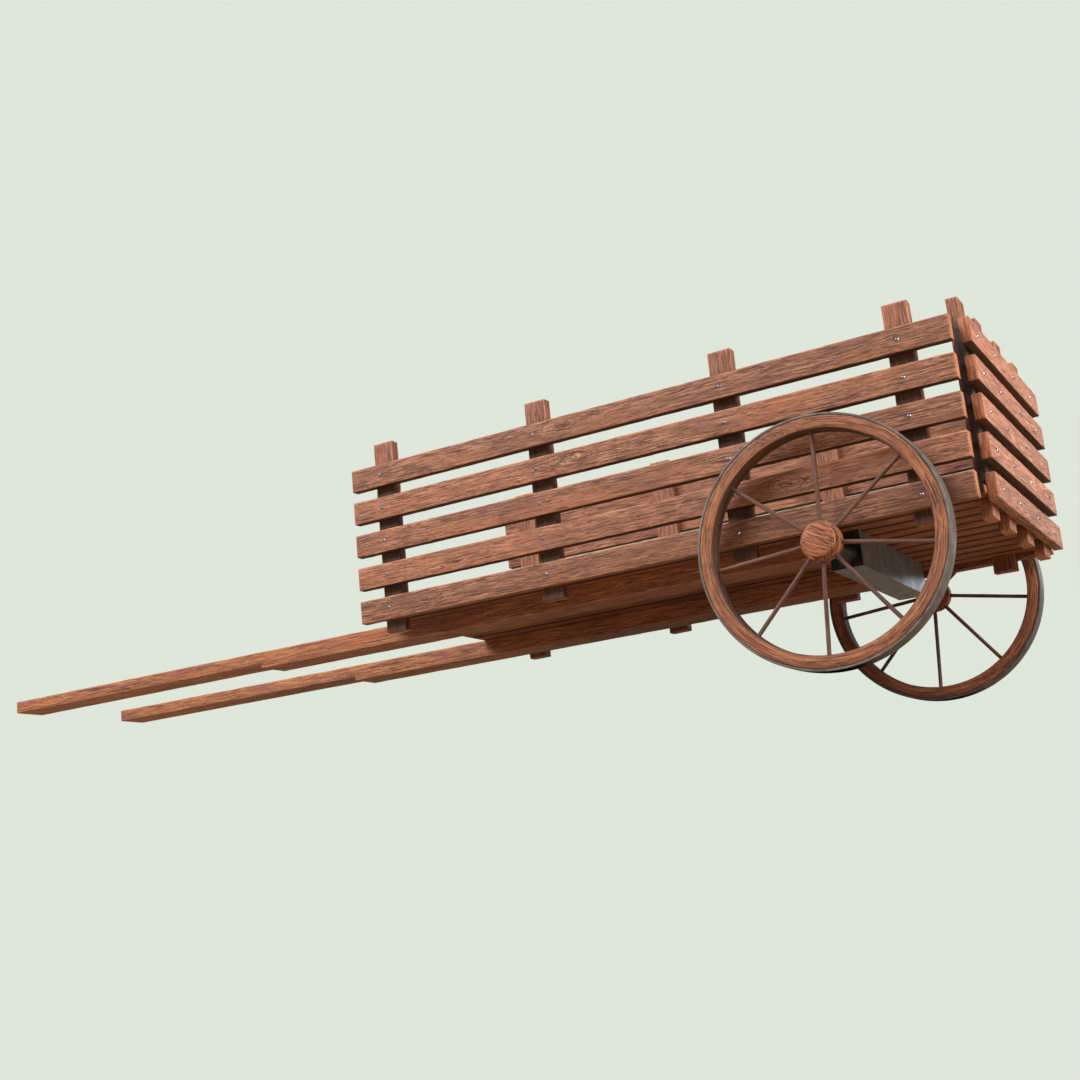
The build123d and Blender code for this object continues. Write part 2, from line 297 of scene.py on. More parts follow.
@dataclass(frozen=True)
class OiledHardwood:
    """Reddish hardwood, sawn and oiled, then left outdoors.

    The saw leaves fine fibres raised along the grain, the oil darkens the
    soft early wood between the rings, and handling rubs the arrises pale.

    Attributes:
        name: The material's name.
        along: The grain's direction.
        tones: The timber's colours.
        spacing: The pitch of the boards in x, y and z; the tone changes at each.
        origin: Where the first gap between boards is.
        lay: How the grain runs.
        axle: The middle of the turned patterns.
        tilt: How far the grain is turned about the axle.
        fibre: Length and width of a fibre streak.
        ring: Distance between growth rings.
        roughness: The smoothest and the roughest of the oiled surface.
        contrast: How strongly the streaks show; 1 is usual.
        joint: The direction across the boards in which each joint is dirty and painted with shade.
        relief: How deep the fibres and cracks are.
        eyes: Where the large oval figures of old branches are.
        soil: The painted shade on its faces between and behind other parts.
        underside: How strong the painted shade is on its downward faces that another board shades,
            from 0 to 1.
    """

    name: str
    along: Axis = Axis.X
    tones: Tones = Tones()
    spacing: tuple[float, float, float] = (10.0, 1.0, 0.111)
    origin: tuple[float, float, float] = (-5.0, 0.0, 0.387)
    lay: Lay = Lay.STRAIGHT
    axle: tuple[float, float, float] = (0.0, 0.0, 0.0)
    tilt: float = 0.0
    fibre: tuple[float, float] = (105 * MM, 4.4 * MM)
    ring: float = 9 * MM
    roughness: tuple[float, float] = (0.52, 0.78)
    contrast: float = 1.0
    joint: Axis | None = None
    relief: float = 1.4 * MM
    eyes: tuple[tuple[float, float, float], ...] = ()
    soil: Soil | None = None
    underside: float = 0.0

    def board_cell(self, tree: Tree) -> tuple[Socket, Socket]:
        """Find which board a point is on.

        Args:
            tree: The material's node tree.

        Returns:
            The point from the first gap, and its board's corner.
        """
        place = add(tree, "TexCoord", out="Object")
        shifted = add(tree, "VectorMath", (place, self.origin), operation="SUBTRACT")
        corner = add(tree, "VectorMath", (shifted, self.spacing), operation="SNAP")
        return shifted, corner

    def grain_place(self, tree: Tree) -> tuple[Socket, Socket]:
        """Lay out the pattern's coordinates: along the grain first.

        Args:
            tree: The material's node tree.

        Returns:
            The grain's coordinates in metres and the board's random colour.
        """
        place = add(tree, "TexCoord", out="Object")
        board = self.board_cell(tree)[1]
        chance = add(tree, "TexWhiteNoise", {"Vector": board}, out="Color")
        if self.lay is Lay.STRAIGHT:
            turn = {"Vector": place, "Rotation": (0, self.tilt, 0)}
            turned = add(tree, "Mapping", turn, vector_type="POINT")
            x, y, z = (add(tree, "SeparateXYZ", (turned,), out=number) for number in range(3))
            order = {Axis.X: (x, y, z), Axis.Y: (y, x, z), Axis.Z: (z, y, x)}[self.along]
            jump = add(tree, "VectorMath", (chance, STEM_JUMP), operation="MULTIPLY")
            grain = add(tree, "CombineXYZ", order)
            return add(tree, "VectorMath", (grain, jump), operation="ADD"), chance
        spun = add(tree, "VectorMath", (place, self.axle), operation="SUBTRACT")
        x, y, z = (add(tree, "SeparateXYZ", (spun,), out=number) for number in range(3))
        angle = add(tree, "Math", (z, x), operation="ARCTAN2")
        arc = add(tree, "Math", (angle, RIM_MIDDLE), operation="MULTIPLY")
        flat = add(tree, "CombineXYZ", (x, z))
        radius = add(tree, "VectorMath", (flat,), out="Value", operation="LENGTH")
        order = (arc, radius, y) if self.lay is Lay.AROUND_AXLE else (radius, arc, y)
        return add(tree, "CombineXYZ", order), chance

    def streaks(
        self, tree: Tree, grain: Socket, length: float, width: float, detail: float
    ) -> Socket:
        """Noise drawn out along the grain.

        Args:
            tree: The material's node tree.
            grain: The grain's coordinates.
            length: Length of one streak.
            width: Width of one streak.
            detail: Octaves of finer streaks within it.

        Returns:
            The noise's strength.
        """
        squeeze = (1 / length, 1 / width, 1 / width)
        drawn = add(tree, "VectorMath", (grain, squeeze), operation="MULTIPLY")
        settings = {"Vector": drawn, "Scale": 1.0, "Detail": detail, "Roughness": 0.62}
        return add(tree, "TexNoise", settings)

    def bend(self, tree: Tree, straight: Socket) -> Socket:
        """Let the stem's own bends carry every finer line with them.

        Args:
            tree: The material's node tree.
            straight: The grain's coordinates before the bends.

        Returns:
            The bent coordinates.
        """
        place = add(tree, "VectorMath", (straight, (2.6, 9.0, 9.0)), operation="MULTIPLY")
        noise = {"Vector": place, "Scale": 1.0, "Detail": 3.0}
        bends = add(tree, "TexNoise", noise, out="Color")
        centred = add(tree, "VectorMath", (bends, (0.5, 0.5, 0.5)), operation="SUBTRACT")
        swing = add(tree, "VectorMath", (centred, STEM_SWING), operation="MULTIPLY")
        return add(tree, "VectorMath", (straight, swing), operation="ADD")

    def growth_rings(self, tree: Tree, grain: Socket) -> Socket:
        """Growth rings, wide enough apart to show as bands on a flat-sawn face.

        Args:
            tree: The material's node tree.
            grain: The grain's coordinates.

        Returns:
            How late in the year's growth a point lies, from 0 to 1.
        """
        pith = add(tree, "VectorMath", (grain, (0.05, 1.0, 1.0)), operation="MULTIPLY")
        wave = {
            "Vector": pith,
            "Scale": math.tau / 20 / self.ring,
            "Distortion": 5.0,
            "Detail": 3.0,
            "Detail Scale": 2.0,
        }
        kind = {"wave_type": "RINGS", "rings_direction": "X", "wave_profile": "SAW"}
        return add(tree, "TexWave", wave, out="Fac", **kind)

    def scatter_eyes(self, tree: Tree, straight: Socket) -> Socket:
        """Scatter the small swirls that twigs left in the stem.

        Args:
            tree: The material's node tree.
            straight: The grain's coordinates before the bends.

        Returns:
            The darkness of the swirls.
        """
        place = add(tree, "VectorMath", (straight, (3.0, 9.0, 9.0)), operation="MULTIPLY")
        far, kind = (
            add(tree, "TexVoronoi", {"Vector": place, "Scale": 1.0}, out=out)
            for out in ("Distance", "Color")
        )
        near = add(tree, "MapRange", (far, 0.30, 0.16, 0.0, 1.0), clamp=True)
        rare = add(tree, "Math", (kind, TWIG_RARITY), operation="GREATER_THAN")
        eye = add(tree, "Math", (near, rare), operation="MULTIPLY")
        turns = add(tree, "Math", (far, TWIG_RINGS), operation="MULTIPLY")
        wave = add(tree, "Math", (turns,), operation="SINE")
        dark = add(tree, "MapRange", (wave, 0.1, 1.0, 0.0, 0.45), clamp=True)
        return add(tree, "Math", (dark, eye), operation="MULTIPLY")

    def sawn_colour(self, tree: Tree, fibre: Socket, rings: Socket, straight: Socket) -> Socket:
        """Colour the long faces by their fibre, patches and rings.

        Args:
            tree: The material's node tree.
            fibre: The fibres' streaks.
            rings: The growth rings.
            straight: The grain's coordinates before the bends.

        Returns:
            The clean sawn colour.
        """
        tones = self.tones
        reach = STREAK_REACH / self.contrast
        stops = [
            (0.485 - reach, tones.deep),
            (0.485, tones.base),
            (0.52, tones.base),
            (0.52 + reach, tones.light),
        ]
        colour = add(tree, "ValToRGB", (fibre,), out="Color", stops=stops)
        # Broad patches of glowing sapwood, then smaller ones of dusky heartwood.
        patches = (
            (tones.glow, (420 * MM, 75 * MM, 3.0), (0.48, 0.66, 0.55)),
            (tones.blush, (260 * MM, 45 * MM, 2.0), (0.50, 0.36, 0.6)),
        )
        for tone, size, (start, end, share) in patches:
            patch = self.streaks(tree, straight, *size)
            mask = add(tree, "MapRange", (patch, start, end, 0.0, share), clamp=True)
            colour = add(tree, "Mix", {0: mask, 6: colour, 7: linear(tone)}, **COLOURS)
        shades = [(0.0, 1.0), (0.7, 0.86), (1.0, 0.66)]
        late = add(tree, "ValToRGB", (rings,), out="Color", stops=shades)
        links = {0: 0.8, 6: colour, 7: late}
        return add(tree, "Mix", links, blend_type="MULTIPLY", **COLOURS)

    def rub_arrises(self, tree: Tree, colour: Socket, coarse: Socket) -> Socket:
        """Rub the arrises pale, broken up so that they don't read as painted lines.

        Args:
            tree: The material's node tree.
            colour: The colour before the wear.
            coarse: The coarse streaks, which break up the wear.

        Returns:
            The worn colour.
        """
        wear = add(tree, "Attribute", out="Fac", attribute_name="wear")
        broken = add(tree, "MapRange", (coarse, 0.38, 0.58, 0.15, 1.0), clamp=True)
        rubbed = add(tree, "Math", (wear, broken), operation="MULTIPLY")
        rubbed = add(tree, "Math", (rubbed, 0.7), operation="MULTIPLY")
        return add(tree, "Mix", {0: rubbed, 6: colour, 7: linear(self.tones.worn)}, **COLOURS)

    def make(self) -> Material:
        """Build the material.

        Returns:
            The finished material.
        """
        material, tree = start_material(self.name)
        straight, chance = self.grain_place(tree)
        straight, large_eyes = self.part_round_eyes(tree, straight)
        grain = self.bend(tree, straight)
        length, width = self.fibre
        coarse = self.streaks(tree, grain, length, width, 5.0)
        fine = self.streaks(tree, grain, length / 4, width / 4, 3.0)
        pores = self.streaks(tree, grain, length / 9, width / 7, 1.0)
        crack = self.streaks(tree, grain, length * 1.6, width * 0.55, 2.0)
        fibre = add(tree, "Mix", {0: 0.32, 2: coarse, 3: fine}, data_type="FLOAT")
        rings = self.growth_rings(tree, grain)
        colour = self.sawn_colour(tree, fibre, rings, straight)

        cracks = add(tree, "MapRange", (crack, 0.43, 0.35, 0.0, 0.85), clamp=True)
        small_eyes = self.scatter_eyes(tree, straight)
        eyes = add(tree, "Math", (large_eyes, small_eyes), operation="MAXIMUM")
        dark = add(tree, "Math", (cracks, eyes), operation="MAXIMUM")
        colour = add(tree, "Mix", {0: dark, 6: colour, 7: linear(self.tones.crack)}, **COLOURS)
        colour = self.rub_arrises(tree, colour, coarse)
        if self.lay is Lay.STRAIGHT:
            colour = self.end_grain(tree, colour, rings, straight)
        # Dirty joints between the boards, widened with painted shade of the gaps.
        if self.joint:
            colour = self.joint_dirt_and_shade(tree, colour)
        # Painted shade on the faces that other parts shade.
        if self.soil:
            level = self.lay is Lay.STRAIGHT
            place = add(tree, "TexCoord", out="Object") if level else straight
            colour = self.soil.paint_on(tree, colour, place)
        # Painted shade on the downward faces.
        if self.underside:
            colour = self.shade_undersides(tree, colour)

        # Every board comes from another stem.
        tone = add(tree, "MapRange", (chance, 0.0, 1.0, 0.86, 1.12))
        colour = add(tree, "HueSaturation", {"Color": colour, "Value": tone}, out="Color")
        relief = add(tree, "Mix", {0: 0.35, 2: fibre, 3: pores}, data_type="FLOAT")
        cut = add(tree, "Math", (relief, dark), operation="SUBTRACT")
        depth = {"Height": cut, "Distance": self.relief, "Strength": 0.75}
        smooth, rough = self.roughness
        gloss = (fibre, 0.35, 0.65, rough, smooth)
        surface = {
            "Base Color": colour,
            "Roughness": add(tree, "MapRange", gloss, clamp=True),
            "IOR": OILED_WOOD_IOR,
            "Normal": add(tree, "Bump", depth, out="Normal"),
        }
        close_material(tree, surface)
        return material

    def part_round_eyes(self, tree: Tree, grain: Socket) -> tuple[Socket, Socket | float]:
        """Bend the grain round each eye and draw the eye's rings.

        Args:
            tree: The material's node tree.
            grain: The grain's coordinates.

        Returns:
            The bent coordinates and the darkness of the rings.
        """
        figure = 0.0
        for eye in self.eyes:
            place = add(tree, "TexCoord", out="Object")
            away = add(tree, "VectorMath", (place, eye), operation="SUBTRACT")
            size = tuple(1 / half for half in EYE_SIZE)
            oval = add(tree, "VectorMath", (away, size), operation="MULTIPLY")
            wobble = add(tree, "TexNoise", {"Vector": place, "Scale": 26.0, "Detail": 2.0})
            far = add(tree, "VectorMath", (oval,), out="Value", operation="LENGTH")
            uneven = add(tree, "Math", (wobble, 0.9, far), operation="MULTIPLY_ADD")
            near = add(tree, "MapRange", (uneven, 2.3, 0.9, 0.0, 1.0), clamp=True)
            push = add(tree, "VectorMath", {0: away, "Scale": near}, operation="SCALE")
            bent = add(tree, "VectorMath", (push, (0.0, 0.0, -0.7)), operation="MULTIPLY")
            grain = add(tree, "VectorMath", (grain, bent), operation="ADD")
            turns = add(tree, "Math", (uneven, EYE_RINGS), operation="MULTIPLY")
            wave = add(tree, "Math", (turns,), operation="SINE")
            line = add(tree, "MapRange", (wave, 0.2, 1.0, 0.0, 0.62), clamp=True)
            drawn = add(tree, "Math", (line, near), operation="MULTIPLY")
            figure = add(tree, "Math", (figure, drawn), operation="MAXIMUM")
        return grain, figure

    def shade_undersides(self, tree: Tree, colour: Socket) -> Socket:
        """Paint shade under a board that another board shades.

        Args:
            tree: The material's node tree.
            colour: The colour of the clean wood.

        Returns:
            The colour with painted shade on its undersides.
        """
        place = add(tree, "TexCoord", out="Object")
        height = add(tree, "SeparateXYZ", (place,), out=Axis.Z.value)
        shaded_height = add(tree, "Math", (height, UNDERSIDE_SHADE_FROM), operation="GREATER_THAN")
        down = (facing(tree, Axis.Z), -0.35, -0.85, 0.0, self.underside)
        under = add(tree, "MapRange", down, clamp=True)
        mask = add(tree, "Math", (under, shaded_height), operation="MULTIPLY")
        return add(tree, "Mix", {0: mask, 6: colour, 7: linear("#17100c")}, **COLOURS)

    def joint_dirt_and_shade(self, tree: Tree, colour: Socket) -> Socket:
        """Darken the boards' edges: dirty joints, and painted shade of the gaps between the boards.

        The darkening spreads wider on faces that look down than on faces that look up.

        Args:
            tree: The material's node tree.
            colour: The colour of the clean boards.

        Returns:
            The colour with dirty joints and painted shade.
        """
        pitch = self.spacing[self.joint.value]
        shifted, corner = self.board_cell(tree)
        inside = add(tree, "VectorMath", (shifted, corner), operation="SUBTRACT")
        near = add(tree, "SeparateXYZ", (inside,), out=self.joint.value)
        far = add(tree, "Math", (pitch, near), operation="SUBTRACT")
        edge = add(tree, "Math", (near, far), operation="MINIMUM")
        spread = (facing(tree, Axis.Z), -0.5, 0.5, SPREAD_DOWN, SPREAD_UP)
        reach = add(tree, "MapRange", spread, clamp=True)
        dirt_and_shade = add(tree, "MapRange", (edge, PACKED_DIRT_AND_SHADE, reach, 0.96, 0.0), clamp=True)
        return add(tree, "Mix", {0: dirt_and_shade, 6: colour, 7: linear("#120c09")}, **COLOURS)

    def end_grain(self, tree: Tree, colour: Socket, rings: Socket, place: Socket) -> Socket:
        """Show rings and open pores where the saw cut across the grain.

        Args:
            tree: The material's node tree.
            colour: The colour of the long faces.
            rings: The growth rings.
            place: The grain's coordinates.

        Returns:
            The colour with its end grain.
        """
        tones = self.tones
        steep = add(tree, "Math", (facing(tree, self.along),), operation="ABSOLUTE")
        mask = add(tree, "MapRange", (steep, 0.6, 0.85, 0.0, 1.0), clamp=True)
        grit = add(tree, "TexNoise", {"Vector": place, "Scale": 240.0, "Detail": 3.0})
        sawn = add(tree, "TexCoord", out="Object")
        squeeze = tuple(1 / size for size in SAW_STROKE)
        drawn = add(tree, "VectorMath", (sawn, squeeze), operation="MULTIPLY")
        noise = {"Vector": drawn, "Scale": 1.0, "Detail": 4.0, "Roughness": 0.6}
        stroke = add(tree, "TexNoise", noise)
        bands = add(tree, "Mix", {0: 0.15, 2: grit, 3: rings}, data_type="FLOAT")
        bands = add(tree, "Mix", {0: 0.7, 2: bands, 3: stroke}, data_type="FLOAT")
        stops = [(0.34, tones.deep), (0.47, tones.end), (0.6, tones.worn)]
        cut = add(tree, "ValToRGB", (bands,), out="Color", stops=stops)
        return add(tree, "Mix", {0: mask, 6: colour, 7: cut}, **COLOURS)


@dataclass(frozen=True)
class RolledSteel:
    """Hot-rolled mild steel, bare and handled.

    Rolling leaves a grey scale with soft blotches, and use draws fine
    scratches through it that are brighter than the scale.

    Attributes:
        name: The material's name.
        dark: The scale's darkest grey.
        mid: The scale's usual grey.
        bright: The rubbed metal.
        rust: The brown in the pits.
        rust_share: How much rust shows, from 0 to 1.
        scratch: The size of a scratch in x, y and z.
        roughness: The smoothest and the roughest of the surface.
        bare: How much of the metal shows through its dull scale, from 0 to 1.
    """

    name: str
    dark: str = "#4a4c4d"
    mid: str = "#6e7172"
    bright: str = "#9a9ea2"
    rust: str = "#5a3526"
    rust_share: float = 0.3
    scratch: tuple[float, float, float] = (14 * MM, 14 * MM, 160 * MM)
    roughness: tuple[float, float] = (0.36, 0.52)
    bare: float = 0.9

    def make(self) -> Material:
        """Build the material.

        Returns:
            The finished material.
        """
        material, tree = start_material(self.name)
        place = add(tree, "TexCoord", out="Object")
        squeeze = tuple(1 / size for size in self.scratch)
        drawn = add(tree, "VectorMath", (place, squeeze), operation="MULTIPLY")
        inputs = ("Vector", "Scale", "Detail", "Roughness")
        blotch, scratch, pits = (
            add(tree, "TexNoise", dict(zip(inputs, values)))
            for values in ((place, 22.0, 5.0, 0.6), (drawn, 1.0, 6.0, 0.7), (place, 60.0, 6.0, 0.7))
        )
        both = add(tree, "Mix", {0: 0.5, 2: blotch, 3: scratch}, data_type="FLOAT")
        stops = [(0.34, self.dark), (0.5, self.mid), (0.68, self.bright)]
        colour = add(tree, "ValToRGB", (both,), out="Color", stops=stops)
        pitted = add(tree, "MapRange", (pits, 0.5, 0.7, 0.0, self.rust_share), clamp=True)
        colour = add(tree, "Mix", {0: pitted, 6: colour, 7: linear(self.rust)}, **COLOURS)
        smooth, rough = self.roughness
        gloss = (both, 0.35, 0.65, rough, smooth)
        depth = {"Height": both, "Distance": 0.5 * MM, "Strength": 0.4}
        surface = {
            "Base Color": colour,
            "Metallic": self.bare,
            "Roughness": add(tree, "MapRange", gloss, clamp=True),
            "Normal": add(tree, "Bump", depth, out="Normal"),
        }
        close_material(tree, surface)
        return material


@dataclass(frozen=True)
class ZincPlate:
    """Bright zinc plating on a steel screw: bluish, with a faint crystal bloom.

    Attributes:
        name: The material's name.
        cool: The plating's bluish side.
        warm: The plating's plain side.
    """

    name: str
    cool: str = "#6f7c96"
    warm: str = "#9aa0ab"

    def make(self) -> Material:
        """Build the material.

        Returns:
            The finished material.
        """
        material, tree = start_material(self.name)
        place = add(tree, "TexCoord", out="Object")
        bloom = add(tree, "TexVoronoi", {"Vector": place, "Scale": 900.0}, out="Color")
        cloud = add(tree, "TexNoise", {"Vector": place, "Scale": 260.0, "Detail": 3.0})
        stops = [(0.35, self.cool), (0.65, self.warm)]
        colour = add(tree, "ValToRGB", (cloud,), out="Color", stops=stops)
        gloss = add(tree, "MapRange", (bloom, 0.0, 1.0, 0.22, 0.38))
        close_material(tree, {"Base Color": colour, "Metallic": 1.0, "Roughness": gloss})
        return material


# --------------------------------------------------------------- making pieces


def deselect() -> None:
    """Leave object mode with nothing selected."""
    if bpy.context.object and bpy.context.object.mode != "OBJECT":
        bpy.ops.object.mode_set(mode="OBJECT")
    bpy.ops.object.select_all(action="DESELECT")


def select_only(piece: Piece) -> None:
    """Select one piece and make it active.

    Args:
        piece: The piece wanted.
    """
    deselect()
    piece.select_set(True)
    bpy.context.view_layer.objects.active = piece


def apply_modifier(piece: Piece, kind: str, **settings: object) -> None:
    """Add a modifier to a piece and apply it.

    Args:
        piece: The piece to change.
        kind: The modifier's type.
        settings: The modifier's settings.
    """
    select_only(piece)
    modifier = piece.modifiers.new(kind.lower(), kind)
    for name, value in settings.items():
        setattr(modifier, name, value)
    bpy.ops.object.modifier_apply(modifier=modifier.name)


def cloud_texture(name: str, grain: float) -> bpy.types.Texture:
    """Make or find a soft noise for uneven surfaces.

    Args:
        name: The texture's name.
        grain: The size of one cloud.

    Returns:
        The texture.
    """
    found = bpy.data.textures.get(name)
    if found:
        return found
    made = bpy.data.textures.new(name, "CLOUDS")
    made.noise_scale = grain
    made.noise_depth = 2
    return made


def dress(piece: Piece, finish: Material, body: str, slot: str, *nodes: str) -> None:
    """Give a piece its finish and its body, and hide the nodes that it stands for.

    Args:
        piece: The finished mesh.
        finish: The piece's material.
        body: The body that it rides on.
        slot: Not used.
        nodes: The nodes that it replaces.
    """
    select_only(piece)
    bpy.ops.object.shade_smooth_by_angle(angle=math.radians(CREASE))
    piece.data.materials.clear()
    piece.data.materials.append(finish)
    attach(piece, body)
    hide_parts(*nodes)


def refinish(node: str, finish: Material) -> None:
    """Give a node of the frame a better material."""
    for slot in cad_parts[node].material_slots:
        slot.material = finish


@dataclass
class Timber:
    """One sawn timber with its arrises worn round.

    Attributes:
        name: The piece's name.
        low: Its lowest corner.
        high: Its highest corner.
        along: The direction of its length.
        arris: Radius of its rounded edges.
        station: Distance between cuts along it.
        hollow: How uneven its faces are.
        chip: How deep the arrises are chipped.
        rubbed: How far from an arris the wear reaches.
    """

    name: str
    low: Vector
    high: Vector
    along: Axis
    arris: float = 2.4 * MM
    station: float = 16 * MM
    hollow: float = 1.3 * MM
    chip: float = 2.6 * MM
    rubbed: float = 7 * MM

    def block(self) -> Piece:
        """Saw the block to size and cut it into stations.

        Returns:
            The block, still with sharp edges.
        """
        deselect()
        size = self.high - self.low
        middle = (self.high + self.low) / 2
        bpy.ops.mesh.primitive_cube_add(size=1, location=middle, scale=size)
        piece = bpy.context.object
        piece.name = piece.data.name = self.name
        bpy.ops.object.transform_apply(location=True, rotation=True, scale=True)
        bpy.ops.object.mode_set(mode="EDIT")
        self.select_long_edges(piece)
        cuts = max(FEWEST_CUTS, round(size[self.along.value] / self.station))
        bpy.ops.mesh.subdivide(number_cuts=cuts)
        for axis in Axis:
            for edge, inward in ((self.low, 1), (self.high, -1)):
                point = edge.copy()
                point[axis.value] += inward * self.rubbed
                normal = [0.0, 0.0, 0.0]
                normal[axis.value] = 1.0
                bpy.ops.mesh.select_all(action="SELECT")
                bpy.ops.mesh.bisect(plane_co=point, plane_no=normal)
        bpy.ops.object.mode_set(mode="OBJECT")
        return piece

    def select_long_edges(self, piece: Piece) -> None:
        """Select the edges that run the timber's whole length.

        Args:
            piece: The block, in edit mode.
        """
        bpy.ops.mesh.select_all(action="DESELECT")
        bpy.ops.mesh.select_mode(type="EDGE")
        mesh = bmesh.from_edit_mesh(piece.data)
        for edge in mesh.edges:
            run = edge.verts[0].co - edge.verts[1].co
            if abs(run[self.along.value]) > ALIGNED * run.length:
                edge.select_set(True)
        bmesh.update_edit_mesh(piece.data)

    def mark_wear(self, piece: Piece) -> None:
        """Note how near each vertex is to an arris, for the chips and the finish.

        Args:
            piece: The timber with rounded arrises.
        """
        shares = []
        for vertex in piece.data.vertices:
            gaps = sorted(
                min(vertex.co[axis] - self.low[axis], self.high[axis] - vertex.co[axis])
                for axis in range(3)
            )
            away = math.hypot(max(gaps[0], 0.0), max(gaps[1], 0.0))
            shares.append(max(0.0, 1 - away / (self.rubbed * 0.9)))
        attribute = piece.data.attributes.new("wear", "FLOAT", "POINT")
        attribute.data.foreach_set("value", shares)
        arrises = piece.vertex_groups.new(name="arrises")
        for number, share in enumerate(shares):
            arrises.add([number], share, "REPLACE")

    def weather(self, piece: Piece) -> None:
        """Round the arrises, then chip them and let the faces go uneven.

        Args:
            piece: The sawn block.
        """
        limit = {"limit_method": "ANGLE", "angle_limit": math.radians(40)}
        apply_modifier(piece, "BEVEL", width=self.arris, segments=2, **limit)
        self.mark_wear(piece)
        apply_modifier(
            piece,
            "DISPLACE",
            texture=cloud_texture("chipped_arris", 24 * MM),
            texture_coords="LOCAL",
            vertex_group="arrises",
            strength=self.chip,
            mid_level=0.75,
        )
        apply_modifier(
            piece,
            "DISPLACE",
            texture=cloud_texture("uneven_face", 90 * MM),
            texture_coords="LOCAL",
            strength=self.hollow,
            mid_level=0.55,
        )

    def build(self) -> Piece:
        """Make the timber.

        Returns:
            The finished mesh.
        """
        piece = self.block()
        self.weather(piece)
        return piece


@dataclass
class Turning:
    """A piece turned about the axle from a closed outline.

    Attributes:
        name: The piece's name.
        outline: (distance from the axle, y) points in order.
        axle: A point on the axle.
        arris: Radius of its rounded edges.
        steps: Faces around the piece.
        segments: Faces across each rounded edge.
    """

    name: str
    outline: list[tuple[float, float]]
    axle: Vector
    arris: float = 1.5 * MM
    steps: int = 96
    segments: int = 2

    def build(self) -> Piece:
        """Turn the piece.

        Returns:
            The finished mesh.
        """
        deselect()
        bpy.ops.mesh.primitive_circle_add(
            vertices=len(self.outline), radius=0.1, fill_type="NGON", location=self.axle
        )
        piece = bpy.context.object
        piece.name = piece.data.name = self.name
        bpy.ops.object.transform_apply(location=True, rotation=True, scale=True)
        bpy.ops.object.mode_set(mode="EDIT")
        bpy.ops.mesh.select_mode(type="VERT")
        mesh = bmesh.from_edit_mesh(piece.data)
        mesh.verts.ensure_lookup_table()
        for vertex, (radius, y) in zip(mesh.verts, self.outline):
            vertex.co = (self.axle.x + radius, y, self.axle.z)
            vertex.select_set(radius > 0)
        mesh.select_flush_mode()
        bmesh.update_edit_mesh(piece.data)
        bpy.ops.mesh.bevel(offset=self.arris, segments=self.segments, affect="VERTICES")
        bpy.ops.mesh.select_all(action="SELECT")
        bpy.ops.mesh.delete(type="ONLY_FACE")
        bpy.ops.mesh.select_all(action="SELECT")
        turn = {"steps": self.steps, "angle": math.tau, "axis": (0, 1, 0)}
        bpy.ops.mesh.spin(center=self.axle, use_auto_merge=True, **turn)
        bpy.ops.mesh.select_all(action="SELECT")
        bpy.ops.mesh.remove_doubles(threshold=0.02 * MM)
        bpy.ops.mesh.normals_make_consistent(inside=False)
        bpy.ops.object.mode_set(mode="OBJECT")
        return piece


# ---------------------------------------------------------------- sub-assemblies


@dataclass
class Shafts:
    """The two long planks that carry the body and end in handles.

    Attributes:
        step_x: Where the handle ends and the step begins.
        step_height: How much thinner the handle is than the plank.
        slope: Length of the step's slope.
        underside: How far above the lowest corner the plank's underside may lie.
        finish: The shafts' timber.
    """

    step_x: float = -696.5 * MM
    step_height: float = 14.5 * MM
    slope: float = 4 * MM
    underside: float = 10 * MM
    finish: OiledHardwood = OiledHardwood(
        "oiled hardwood, shafts",
        spacing=(10.0, 1.0, 2.0),
        origin=(-5.0, 0.0, -1.0),
        fibre=(110 * MM, 3.6 * MM),
        tones=Tones(base="#a2633f", light="#cb8b60", glow="#c27346"),
    )

    def thin_handle(self, piece: Piece, low: Vector) -> None:
        """Cut the step and raise the handle's underside.

        Args:
            piece: The sawn plank.
            low: Its lowest corner.
        """
        select_only(piece)
        bpy.ops.object.mode_set(mode="EDIT")
        for x in (self.step_x, self.step_x + self.slope):
            bpy.ops.mesh.select_all(action="SELECT")
            bpy.ops.mesh.bisect(plane_co=(x, 0, 0), plane_no=(1, 0, 0))
        bpy.ops.mesh.select_all(action="DESELECT")
        bpy.ops.mesh.select_mode(type="VERT")
        mesh = bmesh.from_edit_mesh(piece.data)
        for vertex in mesh.verts:
            under = vertex.co.z < low.z + self.underside
            vertex.select_set(under and vertex.co.x < self.step_x + MM)
        mesh.select_flush_mode()
        bmesh.update_edit_mesh(piece.data)
        bpy.ops.transform.translate(value=(0, 0, self.step_height))
        bpy.ops.object.mode_set(mode="OBJECT")

    def build(self) -> None:
        """Make both shafts."""
        finish = self.finish.make()
        for side in Side:
            node = f"{side.word}_shaft"
            low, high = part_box(node)
            timber = Timber(f"{node}_plank", low, high, Axis.X, arris=3.2 * MM, chip=3.4 * MM)
            piece = timber.block()
            self.thin_handle(piece, low)
            timber.weather(piece)
            dress(piece, finish, "cart", "shaft_wood", node)
            log.info("%s", piece.name)


